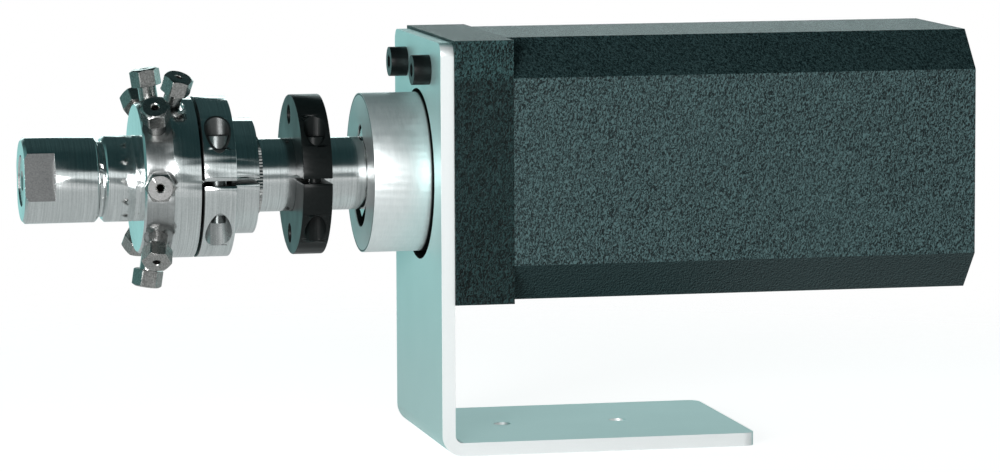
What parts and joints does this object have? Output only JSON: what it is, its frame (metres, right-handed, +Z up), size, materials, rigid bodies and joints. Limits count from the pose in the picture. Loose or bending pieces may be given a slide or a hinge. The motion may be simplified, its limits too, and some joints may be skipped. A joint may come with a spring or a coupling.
{
  "type": "motor-driven rotary selector valve with oldham coupling",
  "caption": "Electric actuator on an L-bracket turning a multi-port rotary valve through a stand-off tube, with an Oldham coupling hidden in the turned adapter.",
  "frame": {"origin": "middle of the two foot holes, on the underside of the bracket's foot", "axes": "+X along the shaft from the valve to the actuator, +Y away from the wrench flat's side, +Z up"},
  "size_m": [0.2305, 0.0584, 0.0981],
  "materials": {
    "sheet_aluminium": "satin bead-blasted clear anodised plate with bright sheared edges",
    "turned_aluminium": "satin, fine turned lines",
    "textured_coat": "leather-grain textured dark slate coat, satin",
    "black_oxide": "black oxide on steel, slightly oily satin",
    "polished_steel": "polished stainless steel, faint turning marks",
    "stainless": "machined stainless steel, semi-gloss",
    "nickel": "nickel-plated steel",
    "brass": "machined brass and bronze",
    "black_plastic": "moulded black plastic",
    "circuit_board": "green solder mask",
    "ferrite": "sintered ferrite",
    "copper_winding": "enamelled copper winding",
    "acetal": "natural acetal, machined",
    "rotor_polymer": "filled polymer, lapped"
  },
  "bodies": {
    "base": {"bracket": "sheet_aluminium", "bracket_screws": "black_oxide", "front_cap": "textured_coat", "housing_shell": "textured_coat", "rear_cover": "textured_coat", "rear_cover_screws": "black_oxide", "power_socket": "black_plastic", "serial_socket": "nickel", "adapter": "turned_aluminium", "adapter_screws": "black_oxide", "tube_nut": "stainless", "standoff_tube": "polished_steel", "tube_bushings": "brass", "spline_ring": "stainless", "clamp_ring": "polished_steel", "clamp_screw": "stainless", "gearbox_front_plate": "turned_aluminium", "gearbox_rear_plate": "turned_aluminium", "gearbox_posts": "nickel", "gearbox_screws": "black_oxide", "output_bushings": "brass", "intermediate_pin": "stainless", "motor_can": "nickel", "motor_magnets": "ferrite", "motor_end_cap": "black_plastic", "position_sensor": "black_plastic", "control_board": "circuit_board", "board_parts": "black_plastic", "board_posts": "nickel"},
    "output_drive": {"output_shaft": "stainless", "output_gear": "brass", "encoder_disc": "black_plastic", "driver_hub": "turned_aluminium"},
    "coupling_disc": {"oldham_disc": "acetal"},
    "long_shaft": {"driven_hub": "turned_aluminium", "drive_shaft": "stainless"},
    "rotor": {"rotor_carrier": "stainless", "valve_rotor": "rotor_polymer"},
    "valve_head": {"valve_body": "polished_steel", "end_cap": "polished_steel", "outlet_fitting": "stainless", "port_nuts": "stainless", "port_ferrules": "brass", "common_nut": "stainless", "thrust_bearing": "stainless", "preload_springs": "stainless", "preload_nut": "stainless"},
    "motor_rotor": {"motor_shaft": "stainless", "motor_armature": "copper_winding", "motor_pinion": "brass"},
    "intermediate": {"intermediate_pinion": "brass", "intermediate_wheel": "brass"},
    "collar": {"collar_upper_half": "black_oxide", "collar_lower_half": "black_oxide", "collar_screws": "black_oxide"}
  },
  "joints": [
    {"name": "output_spin", "type": "hinge", "parent": "base", "child": "output_drive", "pos_m": [-0.0346, 0, 0.065], "axis": [1, 0, 0], "continuous": true},
    {"name": "disc_spin", "type": "hinge", "parent": "base", "child": "coupling_disc", "pos_m": [-0.0346, 0, 0.065], "axis": [1, 0, 0], "continuous": true},
    {"name": "shaft_spin", "type": "hinge", "parent": "base", "child": "long_shaft", "pos_m": [-0.0346, 0, 0.065], "axis": [1, 0, 0], "continuous": true},
    {"name": "rotor_spin", "type": "hinge", "parent": "base", "child": "rotor", "pos_m": [-0.0346, 0, 0.065], "axis": [1, 0, 0], "continuous": true},
    {"name": "motor_spin", "type": "hinge", "parent": "base", "child": "motor_rotor", "pos_m": [-0.0346, -0.0067, 0.07961], "axis": [1, 0, 0], "continuous": true},
    {"name": "intermediate_spin", "type": "hinge", "parent": "base", "child": "intermediate", "pos_m": [-0.0346, 0.0083, 0.07961], "axis": [1, 0, 0], "continuous": true},
    {"name": "head_turn", "type": "hinge", "parent": "base", "child": "valve_head", "pos_m": [-0.0346, 0, 0.065], "axis": [1, 0, 0], "range_deg": [-180, 180]},
    {"name": "collar_slide", "type": "slide", "parent": "base", "child": "collar", "axis": [1, 0, 0], "range_m": [-0.007, 0.009]}
  ],
  "couplings": [
    {"joint": "disc_spin", "follows": "output_spin", "ratio": 1},
    {"joint": "shaft_spin", "follows": "output_spin", "ratio": 1},
    {"joint": "rotor_spin", "follows": "output_spin", "ratio": 1},
    {"joint": "intermediate_spin", "follows": "output_spin", "ratio": -3},
    {"joint": "motor_spin", "follows": "output_spin", "ratio": 12}
  ]
}
